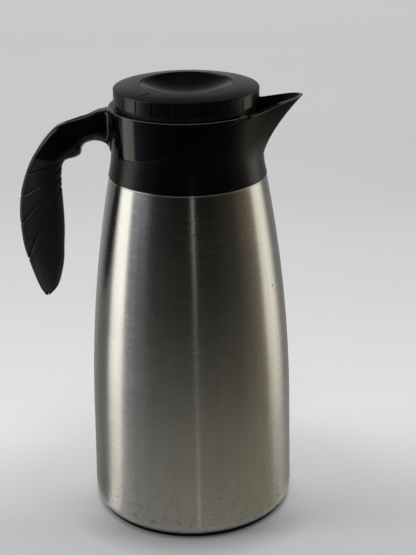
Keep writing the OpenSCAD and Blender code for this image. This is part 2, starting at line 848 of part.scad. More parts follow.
// Glossy dish that snaps into the lid's well
module lid_dish() {
    bowl_r = (pow(dish_r - 0.3, 2) + pow(dish_depth - 0.5, 2)) / (2 * (dish_depth - 0.5));
    centre_z = lid_z - dish_depth + bowl_r;
    color([0.05, 0.05, 0.055])
        rotate_extrude()
            difference() {
                union() {
                    intersection() {
                        translate([0, centre_z])
                            circle(bowl_r + dish_t, $fn = 180);
                        translate([0, well_z])
                            square([dish_r, lid_z - 0.5 - well_z]);
                    }
                    translate([dish_r - 2, lid_z - 6])
                        square([2, 5.5]);
                }
                translate([0, centre_z])
                    circle(bowl_r, $fn = 180);
                translate([-200, 0])
                    square([200, 400]);
            }
}

outer_shell();
shell_bottom();
inner_liner();
getter();
vacuum_seal();
base_pad();
neck_gasket();
neck_ring();
pour_collar();
handle_frame();
handle_grip();
thumb_pad();
handle_screws();
stopper_cup();
stopper_deck();
stopper_seal();
flange_seal();
valve_stem();
valve_pin();
valve_disc();
valve_seal();
lid_cap();
lid_dish();
cam_sleeve();
sleeve_clip();
lid_screws();
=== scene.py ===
import math
import bmesh
import bpy
import numpy as np
from mathutils import Matrix, Vector


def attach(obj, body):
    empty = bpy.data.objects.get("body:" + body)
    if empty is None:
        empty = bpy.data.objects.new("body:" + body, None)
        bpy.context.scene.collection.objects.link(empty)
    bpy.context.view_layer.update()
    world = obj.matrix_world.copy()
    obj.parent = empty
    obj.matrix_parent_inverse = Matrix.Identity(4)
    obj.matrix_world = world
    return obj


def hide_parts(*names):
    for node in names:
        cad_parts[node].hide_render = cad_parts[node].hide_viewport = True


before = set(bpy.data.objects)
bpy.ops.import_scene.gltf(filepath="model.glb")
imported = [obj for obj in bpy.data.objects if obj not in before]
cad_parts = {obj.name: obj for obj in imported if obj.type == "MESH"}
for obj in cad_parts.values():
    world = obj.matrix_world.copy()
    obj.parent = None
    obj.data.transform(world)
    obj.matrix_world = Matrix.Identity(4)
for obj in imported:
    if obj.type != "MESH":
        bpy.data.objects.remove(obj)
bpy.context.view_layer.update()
MM = 0.001

# ---------------------------------------------------------------- sizes
# Millimetres and degrees, apart from what is marked as metres. +Z is up, the spout points along +X
# and the handle along -X. An azimuth is an angle about Z, measured from the spout.

# steel body
BODY_H = 240.0
BELLY_R = 68.88
BELLY_Z = 75.0
BASE_R = BELLY_R + 1.0
BASE_T = 1.1
CORNER_R = 8.0
CORNER_Z = BASE_T + 0.1 + CORNER_R
STEEL_T = 0.8
PAN_R = 57.9
PAN_Z = 4.6
NECK_R = 37.0
MOUTH_Z = BODY_H + 26.0
# middle and radius of each small dent
DINGS = (((54.5, -30.9, 169.8), 1.1), ((56.8, -27.8, 164.9), 0.9),
         ((46.0, -38.5, 196.5), 0.8), ((61.2, -12.0, 175.0), 1.2))

# pour collar
COLLAR_R = 50.2
COLLAR_H = 45.5
RIM_R = COLLAR_R + 0.3
RIM_Z = BODY_H + COLLAR_H
FOOT_FLARE = 2.1
FOOT_R = COLLAR_R + FOOT_FLARE
FOOT_H = 15.0
TOP_R = FOOT_R - 0.4
COLLAR_WALL = 2.4
SEAT_Z = 270.6
SEAT_R = 44.95
LEDGE_TOP = 268.0
LEDGE_LOW = 266.2
LEDGE_R = 40.5
BORE_R = 45.6
LIP_ROUND = 0.42

# beak
BEAK_REACH = 25.2
BEAK_RISE = 5.5
BEAK_ANGLE = 25.6
BEAK_WALL = 2.3
BEAK_BLEND = 6.4
BEAK_END = 60.0
NOSE_R = 10.0
RIM_DIP = 1.6
DIP_END = 46.0
CLIMB_X = 47.5
TIP_R = RIM_R + BEAK_REACH - 0.09
KEEL_LOW = BODY_H + 12

# handle's band
BAND_T = 2.0
BAND_PROUD = 0.35
BAND_H = 30.0
BAND_ROUND = 0.5
TAIL = 40.0

# lid
LID_R = COLLAR_R - 2.8
SKIRT_Z = RIM_Z + 2.8
CREASE_Z = SKIRT_Z + 9.3
LID_Z = CREASE_Z + 2.4
CREASE_ROUND = 0.9
CROWN_END = 30.7
CROWN_DOME = 0.21
SKIRT_IN = 45.0
WELL_R = 31.8
WELL_LOW = 284.35
WELL_FLOOR = 286.4
HOLE_R = 29.92
PAD_COUNT = 24
PAD_PITCH = 360.0 / PAD_COUNT
FLUTE_HALF = 0.5
FLUTE_DEPTH = 0.7
# the index slot's azimuth, half width, depth and ends
INDEX = -132.0
INDEX_HALF = 0.62
INDEX_DEPTH = 0.75
INDEX_IN = 33.6
INDEX_OUT = 41.4
BOWL_R = 29.3
BOWL_D = 7.6
BOWL_DROP = 0.7


# ---------------------------------------------------------------- curves
def ease(t):
    t = min(1.0, max(0.0, t))
    return t * t * (3 - 2 * t)


def lerp(a, b, t):
    return a + (b - a) * t


def soft_max(a, b, k):
    """The larger of two values, blended over k where they meet."""
    return (a + b + math.sqrt((a - b) ** 2 + k * k)) / 2


def spline(rows, t):
    """A smooth curve through equal rows of numbers, t counted in rows."""
    n = len(rows) - 1
    i = min(n - 1, int(math.floor(t)))
    f = t - i
    a, b, c, d = (np.array(rows[k], float) for k in (max(i - 1, 0), i, i + 1, min(i + 2, n)))
    return b + f * 0.5 * ((c - a) + f * ((2 * a - 5 * b + 4 * c - d) + f * (3 * b - a - 3 * c + d)))


def at(r, z, a):
    """The point at radius r, height z and azimuth a."""
    return (r * math.cos(math.radians(a)), r * math.sin(math.radians(a)), z)


def arc(cx, cz, r, a0, a1, n):
    """Points of an arc in n steps, from angle a0 to a1."""
    angles = [math.radians(lerp(a0, a1, k / n)) for k in range(n + 1)]
    return [(cx + r * math.cos(u), cz + r * math.sin(u)) for u in angles]


def wall_r(z):
    """Outside of the collar's round wall, which flares at its foot."""
    lean = (RIM_R - COLLAR_R) * max(0.0, z - BODY_H - FOOT_H) / (COLLAR_H - FOOT_H)
    return COLLAR_R + lean + FOOT_FLARE * max(0.0, 1 - (z - BODY_H) / FOOT_H) ** 1.6


def beak_plan(a):
    """The beak seen from above: a round nose between two straight sides."""
    middle = TIP_R - NOSE_R
    side = 90 - BEAK_ANGLE
    side_sin, side_cos = math.sin(math.radians(side)), math.cos(math.radians(side))
    nose_end = math.degrees(math.atan2(NOSE_R * side_sin, middle + NOSE_R * side_cos))
    turn = abs(a)
    if turn < nose_end:
        across = middle * math.sin(math.radians(turn))
        return middle * math.cos(math.radians(turn)) + math.sqrt(NOSE_R ** 2 - across ** 2)
    return (middle * side_cos + NOSE_R) / math.cos(math.radians(min(turn, side) - side))


def beak_share(a):
    """How much of the beak's full reach an azimuth has, from 0 to 1."""
    if abs(a) > BEAK_END:
        return 0.0
    full = soft_max(TIP_R, RIM_R, BEAK_BLEND) - RIM_R
    return ease((BEAK_END - abs(a)) / 25) * (soft_max(beak_plan(a), RIM_R, BEAK_BLEND) - RIM_R) / full


def keel_share(z):
    """How much of the beak's reach a height has, from 0 at the keel's foot to 1 at the tip."""
    return max(0.0, (z - KEEL_LOW) / (RIM_Z + BEAK_RISE - KEEL_LOW)) ** 1.44


def rim_at(a):
    """Height of the lip: a dip beside the beak, then a nearly straight slope out to the tip."""
    x = (RIM_R + (TIP_R - RIM_R) * beak_share(a)) * math.cos(math.radians(a))
    climb = max(0.0, soft_max(x - CLIMB_X, 0.0, 3.0) - 0.08) / (TIP_R - CLIMB_X)
    inside = DIP_END - abs(a)
    return RIM_Z - RIM_DIP * ease(inside / 22) + (RIM_DIP + BEAK_RISE) * climb * ease(inside / 12)


def outer_at(a, z):
    """Outside of the collar with its beak, whose keel is wider and flatter low down."""
    keel = keel_share(z)
    spread = lerp(0.62, 1.0, min(1.0, keel ** 0.7))
    return wall_r(z) + (TIP_R - wall_r(z)) * beak_share(a * spread) * keel


def inner_at(a, z):
    """Inside of the collar with the channel of its beak."""
    reach = max(0.0, TIP_R - BEAK_WALL - BORE_R)
    return BORE_R + reach * beak_share(a) * max(0.0, keel_share(z) - 0.02)


def seam_at(a):
    """Height of the band's lower edge, which climbs to the rim at the band's tails."""
    u = min(1.0, (180 - abs(a)) / (180 - TAIL))
    climb = 0.12 * u + 0.88 * math.sin(math.radians(90 * u ** 1.8)) ** 2
    return min(rim_at(a) - 1.2, RIM_Z - BAND_H + (BAND_H - 1.2) * climb)


def recess_at(a):
    """Depth of the recess that the band lies in."""
    return BAND_T * ease((abs(a) - TAIL + 2) / 6)


# ---------------------------------------------------------------- meshes
def make(name, verts, faces, sharp=35.0):
    """A smooth object from points in millimetres, with hard edges above an angle."""
    mesh = bpy.data.meshes.new(name)
    mesh.from_pydata([tuple(c * MM for c in v) for v in verts], [], faces)
    mesh.validate()
    mesh.update()
    ob = bpy.data.objects.new(name, mesh)
    bpy.context.scene.collection.objects.link(ob)
    mesh.polygons.foreach_set("use_smooth", [True] * len(mesh.polygons))
    mesh.set_sharp_from_angle(angle=math.radians(sharp))
    return ob


def grid(rows, close_rows=False, close_cols=True, caps=False):
    """Points and quads of a grid of equal rows."""
    m, n = len(rows), len(rows[0])
    verts = [p for row in rows for p in row]
    faces = []
    for i in range(m if close_rows else m - 1):
        for j in range(n if close_cols else n - 1):
            here, there = i * n, (i + 1) % m * n
            after = (j + 1) % n
            faces.append((here + j, here + after, there + after, there + j))
    if caps:
        faces.append(tuple(range(n))[::-1])
        faces.append(tuple(range((m - 1) * n, m * n)))
    return verts, faces


def outward(ob):
    """Turns the faces of a closed mesh to point out."""
    bm = bmesh.new()
    bm.from_mesh(ob.data)
    bmesh.ops.recalc_face_normals(bm, faces=bm.faces)
    bm.to_mesh(ob.data)
    bm.free()
    return ob


def skin(name, rows, sharp, **closing):
    """A closed piece from a grid of rows."""
    return outward(make(name, *grid(rows, **closing), sharp))


def revolve(name, profile, steps, sharp):
    """A ring whose closed outline of (r, z) points turns about the Z axis."""
    rows = [[at(r, z, 360.0 * k / steps) for r, z in profile] for k in range(steps)]
    return skin(name, rows, sharp, close_rows=True)


# ---------------------------------------------------------------- materials
# A material reads places on the object in metres.
class Nodes:
    """Short names for the nodes of one shader tree."""

    def __init__(self, name):
        self.material = bpy.data.materials.new(name)
        self.material.use_nodes = True
        self.tree = self.material.node_tree

    def node(self, kind, **values):
        made = self.tree.nodes.new(kind)
        for key, value in values.items():
            setattr(made, key, value)
        return made

    def link(self, output, socket):
        self.tree.links.new(output, socket)

    def feed(self, socket, value):
        """Sets a socket to a number or a colour, or links it to an output."""
        if isinstance(value, (int, float)):
            socket.default_value = value
        elif isinstance(value, tuple):
            socket.default_value = (*value, 1)
        else:
            self.link(value, socket)

    def coords(self):
        return self.node("ShaderNodeTexCoord").outputs["Object"]

    def split(self, vector):
        made = self.node("ShaderNodeSeparateXYZ")
        self.link(vector, made.inputs[0])
        return made.outputs

    def combine(self, x, y):
        made = self.node("ShaderNodeCombineXYZ")
        self.link(x, made.inputs["X"])
        self.link(y, made.inputs["Y"])
        return made.outputs[0]

    def noise(self, scale, detail=3.0, rough=0.6, vector=None, distort=0.0):
        made = self.node("ShaderNodeTexNoise")
        settings = {"Scale": scale, "Detail": detail, "Roughness": rough, "Distortion": distort}
        for key, value in settings.items():
            made.inputs[key].default_value = value
        self.link(self.coords() if vector is None else vector, made.inputs["Vector"])
        return made.outputs["Fac"]

    def math(self, operation, *values):
        made = self.node("ShaderNodeMath", operation=operation)
        for socket, value in zip(made.inputs, values):
            self.feed(socket, value)
        return made.outputs[0]

    def plus(self, a, b):
        return self.math("ADD", a, b)

    def times(self, a, b):
        return self.math("MULTIPLY", a, b)

    def vector(self, operation, a, b):
        made = self.node("ShaderNodeVectorMath", operation=operation)
        self.link(a, made.inputs[0])
        self.link(b, made.inputs[1])
        return made.outputs[0]

    def remap(self, value, low, high, to_low=0.0, to_high=1.0):
        """Moves a value from one range to another and holds it there."""
        made = self.node("ShaderNodeMapRange", clamp=True)
        ends = {"From Min": low, "From Max": high, "To Min": to_low, "To Max": to_high}
        for key, end in ends.items():
            made.inputs[key].default_value = end
        self.link(value, made.inputs["Value"])
        return made.outputs["Result"]

    def ramp(self, value, low, high, stops):
        """A grey or a colour that follows a value, with stops given in the value's own units."""
        made = self.node("ShaderNodeValToRGB")
        elements = made.color_ramp.elements
        while len(elements) < len(stops):
            elements.new(0.5)
        for element, (place, tone) in zip(elements, stops):
            element.position = (place - low) / (high - low)
            element.color = (*tone, 1) if isinstance(tone, tuple) else (tone, tone, tone, 1)
        self.link(self.remap(value, low, high), made.inputs["Fac"])
        return made.outputs["Color"]

    def mix(self, share, a, b):
        made = self.node("ShaderNodeMix", data_type="RGBA")
        for socket, value in ((0, share), (6, a), (7, b)):
            self.feed(made.inputs[socket], value)
        return made.outputs[2]


class Surface(Nodes):
    """A material with one Principled shader."""

    def __init__(self, name, **sockets):
        super().__init__(name)
        self.shader = self.tree.nodes["Principled BSDF"]
        for key, value in sockets.items():
            self.shader.inputs[key.replace("_", " ")].default_value = value

    def to(self, socket, value):
        self.link(value, self.shader.inputs[socket])

    def bump(self, height, strength, distance, after=None):
        made = self.node("ShaderNodeBump")
        made.inputs["Strength"].default_value = strength
        made.inputs["Distance"].default_value = distance
        self.link(height, made.inputs["Height"])
        if after is not None:
            self.link(after, made.inputs["Normal"])
        return made.outputs["Normal"]


def scratches(m, z):
    """Thin broken lines in two slanted directions, fainter near the collar."""
    lines = []
    for k, (turn, scale) in enumerate(((0.5, 46.0), (-0.9, 37.0))):
        slant = m.node("ShaderNodeMapping")
        slant.inputs["Rotation"].default_value = (turn, turn * 0.3, 0.4 + k)
        slant.inputs["Scale"].default_value = (1.0, 1.0, 0.035)
        m.link(m.coords(), slant.inputs["Vector"])
        cells = m.node("ShaderNodeTexVoronoi", feature="DISTANCE_TO_EDGE")
        cells.inputs["Scale"].default_value = scale
        m.link(slant.outputs["Vector"], cells.inputs["Vector"])
        line = m.remap(cells.outputs["Distance"], 0.0, 0.006, 1.0, 0.0)
        gate = m.remap(m.noise(24.0 + 9 * k, 2.0, 0.5), 0.64, 0.70)
        lines.append(m.times(line, m.times(gate, m.remap(z, 0.15, 0.21, 1.0, 0.25))))
    return m.math("MAXIMUM", *lines)


def dents(m):
    """A round mark at each small dent."""
    marks = None
    for middle, radius in DINGS:
        away = m.node("ShaderNodeVectorMath", operation="DISTANCE")
        m.link(m.coords(), away.inputs[0])
        away.inputs[1].default_value = tuple(c * MM for c in middle)
        mark = m.remap(away.outputs["Value"], 0.3 * radius * MM, radius * MM, 1.0, 0.0)
        marks = mark if marks is None else m.math("MAXIMUM", marks, mark)
    return marks


def steel_material():
    """Brushed steel that has been used: smudges, scuffs at the foot, scratches and small dents."""
    m = Surface("satin_steel", Metallic=1.0, Roughness=0.25, Anisotropic=0.97, Anisotropic_Rotation=0.25)
    m.to("Tangent", m.node("ShaderNodeTangent", direction_type="RADIAL", axis="Z").outputs["Tangent"])
    place = m.split(m.coords())
    angle = m.math("ARCTAN2", place["Y"], place["X"])
    z = place["Z"]

    # brushing: streaks that run round the body, and faint marks that run down it
    round_body = m.combine(m.times(angle, 0.010), z)
    fine = m.noise(2600.0, 4.0, 0.7, round_body)
    wide = m.noise(380.0, 3.0, 0.6, round_body)
    down_body = m.combine(m.times(angle, 0.07), m.times(z, 0.05))
    drips = m.noise(210.0, 3.0, 0.6, down_body)
    cloud = m.noise(16.0, 4.0, 0.6)
    tone = m.plus(m.times(fine, 0.5), m.times(wide, 0.3))
    tone = m.plus(m.plus(tone, m.times(drips, 0.38)), m.times(cloud, 0.34))
    base = m.mix(m.remap(tone, 0.56, 0.93), (0.545, 0.54, 0.52), (0.71, 0.70, 0.67))

    # smudges all over, scuffs low down, and painted shade at the very foot
    smudge = m.remap(m.noise(27.0, 5.0, 0.68, distort=0.6), 0.50, 0.70)
    base = m.mix(m.times(smudge, 0.15), base, (0.40, 0.385, 0.355))
    short_marks = m.combine(m.times(angle, 0.062), m.times(z, 1.3))
    scuff = m.remap(m.noise(240.0, 4.0, 0.7, short_marks), 0.54, 0.66)
    base = m.mix(m.times(scuff, m.remap(z, 0.008, 0.055, 0.62, 0.0)), base, (0.27, 0.255, 0.225))
    # painted shade: darker towards the very foot, next to the table
    base = m.mix(m.remap(z, 0.0015, 0.009, 0.45, 0.0), base, (0.27, 0.26, 0.235))

    lines = scratches(m, z)
    marks = dents(m)
    base = m.mix(m.times(lines, 0.11), base, (0.32, 0.31, 0.29))
    base = m.mix(m.times(marks, 0.85), base, (0.10, 0.09, 0.075))
    m.to("Base Color", base)
    rough = m.plus(m.remap(wide, 0.3, 0.7, 0.225, 0.265), m.remap(cloud, 0.4, 0.75, 0.0, 0.04))
    m.to("Roughness", m.plus(rough, m.times(m.math("MAXIMUM", lines, marks), 0.2)))

    # slight waves of the drawn sheet, then the brushing on top
    height = m.plus(m.times(fine, 0.22), m.times(lines, -0.05))
    height = m.math("SUBTRACT", height, m.times(marks, 3.0))
    waves = m.bump(m.noise(26.0, 1.0, 0.4), 1.0, 0.00006)
    m.to("Normal", m.bump(height, 0.22, 0.00005, after=waves))
    return m.material


def plastic(name, color, rough, grain, depth, wear=0.0, spec=0.5, swing=0.08, matt=None):
    """Moulded black with a fine grain, dust specks and patches that shine a little more or less."""
    m = Surface(name, Roughness=rough, IOR=1.48, Specular_IOR_Level=spec)
    cloud = m.noise(38.0, 4.0)
    light = tuple(c * 1.5 + 0.0003 for c in color)
    base = m.mix(m.remap(cloud, 0.35, 0.7), color, light)
    speck = m.remap(m.noise(900.0, 2.0, 0.5), 0.70, 0.76, 0.0, wear)
    m.to("Base Color", m.mix(speck, base, (0.22, 0.22, 0.215)))
    shine = m.remap(cloud, 0.3, 0.75, rough - swing / 2, rough + swing / 2)
    shine = m.plus(shine, m.times(speck, 0.3))
    if matt:
        # a duller skin that comes in over a range along X and one along Z
        place = m.split(m.coords())
        out, up = (m.remap(place[axis], *matt[axis]) for axis in "XZ")
        shine = m.plus(shine, m.times(m.times(out, up), matt["gain"]))
    m.to("Roughness", shine)
    m.to("Normal", m.bump(m.noise(grain), 0.5, depth))
    return m.material


def simple(name, color, rough, metallic, grain, depth):
    """One even finish with a little grain, for the pieces inside."""
    m = Surface(name, Roughness=rough, Metallic=metallic)
    grains = m.noise(grain)
    dark, light = (tuple(c * k for c in color) for k in (0.85, 1.12))
    m.to("Base Color", m.mix(m.remap(grains, 0.3, 0.7), dark, light))
    m.to("Roughness", m.remap(grains, 0.3, 0.7, rough - 0.04, rough + 0.06))
    m.to("Normal", m.bump(grains, 0.4, depth))
    return m.material


# the outside of the beak is duller than the rest of the collar
BEAK_MATT = {"X": (0.026, 0.046), "Z": (0.2545, 0.268), "gain": 0.4}
STEEL = steel_material()
COLLAR = plastic("collar_black", (0.0008, 0.0008, 0.00085), 0.28, 2600.0, 0.00003, wear=0.04, spec=0.33,
                 matt=BEAK_MATT)
FRAME = plastic("frame_black", (0.0006, 0.0006, 0.00065), 0.09, 700.0, 0.000006, wear=0.03, swing=0.03)
LID = plastic("lid_black", (0.0010, 0.0010, 0.00095), 0.31, 3000.0, 0.00003, wear=0.06)
DISH = plastic("dish_black", (0.0006, 0.0006, 0.0006), 0.12, 500.0, 0.000008, wear=0.03, swing=0.05)
GRIP = plastic("grip_rubber", (0.0050, 0.0050, 0.0044), 0.44, 3600.0, 0.00005, wear=0.08, swing=0.06)
PAD = plastic("thumb_rubber", (0.006, 0.006, 0.0057), 0.42, 3600.0, 0.00003, wear=0.08, swing=0.06)
# a lighter, glossier finish for the rims' outer edges: a painted highlight
EDGE_HIGHLIGHT = plastic("painted_edge_highlight", (0.045, 0.045, 0.044), 0.24, 2600.0, 0.00003, spec=0.6)
BASE = plastic("base_black", (0.002, 0.002, 0.002), 0.5, 1800.0, 0.00004, wear=0.05)
INNER = simple("inner_steel", (0.6, 0.6, 0.59), 0.28, 1.0, 1200.0, 0.00001)
DULL = simple("getter_metal", (0.2, 0.2, 0.2), 0.6, 1.0, 900.0, 0.00005)
BRAZE = simple("braze_bead", (0.45, 0.4, 0.33), 0.45, 1.0, 300.0, 0.0002)
STOPPER = simple("stopper_black", (0.012, 0.012, 0.012), 0.42, 0.0, 1800.0, 0.00003)
SILICONE = simple("silicone_grey", (0.5, 0.5, 0.49), 0.5, 0.0, 700.0, 0.00002)
ACETAL = simple("acetal_white", (0.66, 0.65, 0.62), 0.4, 0.0, 1400.0, 0.00001)
PIN = simple("pin_steel", (0.58, 0.57, 0.56), 0.22, 1.0, 1500.0, 0.00001)

CAD_FINISHES = (
    (STEEL, ("outer_shell",)),
    (INNER, ("shell_bottom", "inner_liner", "valve_disc")),
    (DULL, ("getter",)),
    (BRAZE, ("vacuum_seal",)),
    (BASE, ("base_pad",)),
    (STOPPER, ("neck_ring", "stopper_cup", "stopper_deck")),
    (COLLAR, ("pour_collar",)),
    (FRAME, ("handle_frame",)),
    (GRIP, ("handle_grip",)),
    (PAD, ("thumb_pad",)),
    (SILICONE, ("neck_gasket", "stopper_seal", "flange_seal", "valve_seal")),
    (ACETAL, ("cam_sleeve",)),
    (PIN, ("handle_screws", "valve_stem", "valve_pin", "sleeve_clip", "lid_screws")),
    (LID, ("lid_cap",)),
    (DISH, ("lid_dish",)),
)
for material, names in CAD_FINISHES:
    for name in names:
        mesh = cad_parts[name].data
        mesh.materials.clear()
        mesh.materials.append(material)


def dress(ob, material, body, slot, *nodes):
    """Gives a piece its finish, the body it moves with and the CAD nodes it stands for."""
    ob.data.materials.append(material)
    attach(ob, body)
    if nodes:
        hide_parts(*nodes)


# ---------------------------------------------------------------- steel body
def side_curve():
    """The steel's radius as a function of height: a straight taper, then one arc tangent to it."""
    taper = (BASE_R - BELLY_R) / (BELLY_Z - CORNER_R - BASE_T)
    chord = np.array([TOP_R - BELLY_R, BODY_H - BELLY_Z])
    normal = np.array([-1, -taper]) / math.hypot(1, taper)
    radius = chord @ chord / (2 * (chord @ normal))
    centre = np.array([BELLY_R, BELLY_Z]) + radius * normal

    def r(z):
        if z < BELLY_Z:
            return BELLY_R + (BELLY_Z - z) * taper
        return centre[0] + math.sqrt(radius ** 2 - (z - centre[1]) ** 2)
    return r


side_r = side_curve()


def body_profile():
    """Outline of the sheet: the curl under the base, the outside, the neck, and back down inside."""
    curl = 0.5
    outside = [(PAN_R, PAN_Z), (PAN_R, BASE_T + 0.6)]
    outside += arc(PAN_R + curl, BASE_T + 0.6, curl, 180, 270, 4)
    outside += arc(side_r(CORNER_Z) - CORNER_R, CORNER_Z, CORNER_R, -90, 0, 20)
    outside += [(side_r(z), z) for z in np.linspace(CORNER_Z + 1.5, BODY_H - 1.6, 110)]
    outside += [(TOP_R + 0.25, BODY_H - 1.2), (TOP_R + 0.44, BODY_H - 1.0)]
    outside += arc(TOP_R + 0.1, BODY_H - 0.6, curl, -20, 90, 7)
    shoulder = [(49.6, BODY_H - 0.1), (49.2, BODY_H + 1.5), (46.0, BODY_H + 10.5), (NECK_R, BODY_H + 14.4)]
    mouth = [(NECK_R, MOUTH_Z - 0.4), (NECK_R - 0.4, MOUTH_Z), (NECK_R - STEEL_T, MOUTH_Z - 0.4)]
    inside = [(NECK_R - STEEL_T, BODY_H + 13.6), (45.4, BODY_H + 9.8), (48.4, BODY_H + 1.4)]
    inside += [(side_r(z) - STEEL_T, z) for z in np.linspace(BODY_H - 2.0, CORNER_Z, 40)]
    inside += arc(side_r(CORNER_Z) - CORNER_R, CORNER_Z, CORNER_R - STEEL_T, 0, -90, 10)
    inside += [(PAN_R - STEEL_T, BASE_T + 0.9), (PAN_R - STEEL_T, PAN_Z)]
    return outside + shoulder + mouth + inside


body = revolve("flask_body", body_profile(), 320, 50)
dress(body, STEEL, "flask", "satin_steel", "outer_shell")


# ---------------------------------------------------------------- pour collar
def collar_section(a):
    """Section of the collar: its foot, its outside up to the lip, and back down inside."""
    top, seam, deep = rim_at(a), seam_at(a), recess_at(a)
    foot_in = FOOT_R - COLLAR_WALL
    foot = [(foot_in, BODY_H + 0.02), (FOOT_R - 0.75, BODY_H + 0.02), (FOOT_R - 0.3, BODY_H + 0.12),
            (FOOT_R - 0.05, BODY_H + 0.45)]
    outside = [(outer_at(a, z), z) for z in np.linspace(BODY_H + 1.0, seam - 0.2, 26)]
    outside += [(outer_at(a, seam) - 0.12 * deep / BAND_T, seam)]
    outside += [(outer_at(a, z) - deep, z) for z in np.linspace(seam + 0.12, top - 0.75, 16)]
    # the lip is rounded to both sides, a little less high than it is wide
    r_out, r_in = outer_at(a, top) - deep, inner_at(a, top)
    wide = max(0.3, min(LIP_ROUND, (r_out - r_in) / 2.2))
    lip = []
    for u in (math.radians(18 * k) for k in range(1, 6)):
        lip.append((r_out - wide * (1 - math.cos(u)), top - 0.9 * wide * (1 - math.sin(u))))
    for u in (math.radians(22.5 * k) for k in range(5)):
        lip.append((r_in + wide * (1 - math.sin(u)), top - 0.9 * wide * (1 - math.cos(u))))
    inside = [(inner_at(a, z), z) for z in (lerp(SEAT_Z, top - 0.5, t) for t in np.linspace(0.94, 0, 16))]
    seat = [(SEAT_R, SEAT_Z + 0.1), (SEAT_R, LEDGE_TOP), (LEDGE_R, LEDGE_TOP), (LEDGE_R, LEDGE_LOW),
            (BORE_R, LEDGE_LOW)]
    skirt = [(BORE_R, BODY_H + 16.0), (FOOT_R - 4.9, BODY_H + 10.5), (FOOT_R - 3.6, BODY_H + 7.0),
             (foot_in, BODY_H + 2.5)]
    return [at(r, z, a) for r, z in foot + outside + lip + inside + seat + skirt]


def paint_edge_highlight(ob, edge_r, width, last):
    """Gives the rim's outer edge, up to an azimuth, a lighter and glossier finish: a painted highlight."""
    ob.data.materials.append(EDGE_HIGHLIGHT)
    for face in ob.data.polygons:
        x, y, z = face.center / MM
        a = math.degrees(math.atan2(y, x))
        if z > rim_at(a) - 0.5 and math.hypot(x, y) > edge_r(a) - width and abs(a) <= last:
            face.material_index = 1


# fine steps round the beak and coarser ones behind
half_turn = list(np.arange(0, 46, 0.75)) + list(np.linspace(46, 180, 90))
azimuths = half_turn + [-a for a in half_turn[-2:0:-1]]
collar = skin("collar_shell", [collar_section(a) for a in azimuths], 40, close_rows=True)
dress(collar, COLLAR, "flask", "collar_plastic", "pour_collar")
# painted highlight along the lip round the beak
paint_edge_highlight(collar, lambda a: outer_at(a, rim_at(a)) - recess_at(a), width=2.2, last=45)


# ---------------------------------------------------------------- handle's band
def band_section(a):
    """Section of the band in its recess, which sinks into the collar at the band's tails."""
    low, top, deep = seam_at(a) + 0.4, rim_at(a), recess_at(a) - 0.1
    end = ease((abs(a) - TAIL - 0.6) / 1.2)
    proud = BAND_PROUD * end - 0.25 * (1 - end)
    outside = [(wall_r(low) + proud - 0.35, low), (wall_r(low) + proud - 0.1, low + 0.08),
               (wall_r(low) + proud, low + 0.32)]
    outside += [(wall_r(z) + proud, z) for z in np.linspace(low + 0.6, top - 0.8, 24)]
    turns = [math.radians(18 * k) for k in range(1, 6)]
    edge = [(wall_r(top) + proud - BAND_ROUND * (1 - math.cos(u)), top - BAND_ROUND * (1 - math.sin(u)))
            for u in turns]
    inside = [(wall_r(top) - deep + 0.2, top), (wall_r(top) - deep, top - 0.2)]
    inside += [(wall_r(z) - deep, z) for z in np.linspace(top - 0.5, low, 6)]
    return [at(r, z, a) for r, z in outside + edge + inside]


half_span = list(np.linspace(TAIL + 0.6, TAIL + 3, 9)) + list(np.linspace(TAIL + 4, 180, 100))
band_span = half_span + [-a for a in half_span[-2::-1]]
band = skin("handle_band", [band_section(a) for a in band_span], 40, caps=True)
dress(band, FRAME, "flask", "frame_plastic", "handle_frame")
# painted highlight along the band's top edge
paint_edge_highlight(band, lambda a: wall_r(rim_at(a)) + BAND_PROUD, width=0.42, last=180)

# ---------------------------------------------------------------- handle's arm
# Each row is one section across the handle: how far its back stands out from the collar's wall and
# how far below the rim, the same for its inner edge, then its half width at the back and at the
# middle as shares of ARM_HALF or GRIP_HALF.
ARM_HALF = 9.5
GRIP_HALF = 10.5
ARM_ROWS = [
    [-3.6, 0.8, -3.4, 24.9, 0.70, 1.0], [-0.2, 1.4, 0.4, 24.2, 0.68, 1.0],
    [3.4, 2.2, 4.2, 23.8, 0.66, 1.0], [8.2, 3.2, 10.0, 23.0, 0.55, 1.0],
    [14.6, 6.2, 15.6, 24.3, 0.5, 1.0], [22.0, 8.5, 18.6, 27.3, 0.48, 1.0],
    [29.6, 10.8, 19.6, 31.4, 0.48, 1.0], [36.4, 14.3, 21.6, 33.2, 0.5, 1.0],
    [44.2, 22.6, 24.4, 34.2, 0.52, 1.0], [51.3, 33.0, 27.2, 34.4, 0.52, 1.0]]
GRIP_ROWS = [
    [51.3, 33.0, 27.2, 34.4, 0.52, 0.92], [54.6, 39.4, 31.4, 37.4, 0.5, 0.94],
    [57.4, 46.5, 33.1, 44.0, 0.5, 0.97], [60.4, 57.0, 33.5, 55.0, 0.5, 1.0],
    [62.1, 70.5, 33.1, 70.0, 0.5, 1.0], [61.9, 83.0, 33.1, 83.0, 0.5, 1.0],
    [60.6, 95.5, 33.9, 95.0, 0.5, 0.98], [57.4, 107.5, 34.7, 106.5, 0.48, 0.93],
    [54.3, 117.5, 36.9, 117.0, 0.46, 0.82], [51.4, 125.0, 39.7, 124.6, 0.44, 0.62],
    [49.0, 128.3, 43.1, 128.1, 0.48, 0.44], [48.0, 129.6, 44.6, 129.5, 0.48, 0.26],
    [46.5, 130.1, 46.0, 130.1, 0.5, 0.05]]
# Half of a section: place from the inner edge (0) to the back (1), and half width, where 1 is the
# width at the back and 1.9 the width at the middle
SECTION = [[1.0, 0.5], [0.988, 0.84], [0.962, 1.10], [0.930, 1.235], [0.87, 1.35], [0.68, 1.7],
           [0.48, 1.9], [0.3, 1.82], [0.14, 1.4], [0.04, 0.8], [0, 0.25]]
WIDEST = 1.9
BACK_STEPS = 5
SECTION_STEPS = 64
# how far the band's root fillet reaches above, beside and below the arm
FILLET_ABOVE, FILLET_SIDE, FILLET_BELOW = 0.9, 3.8, 6.0


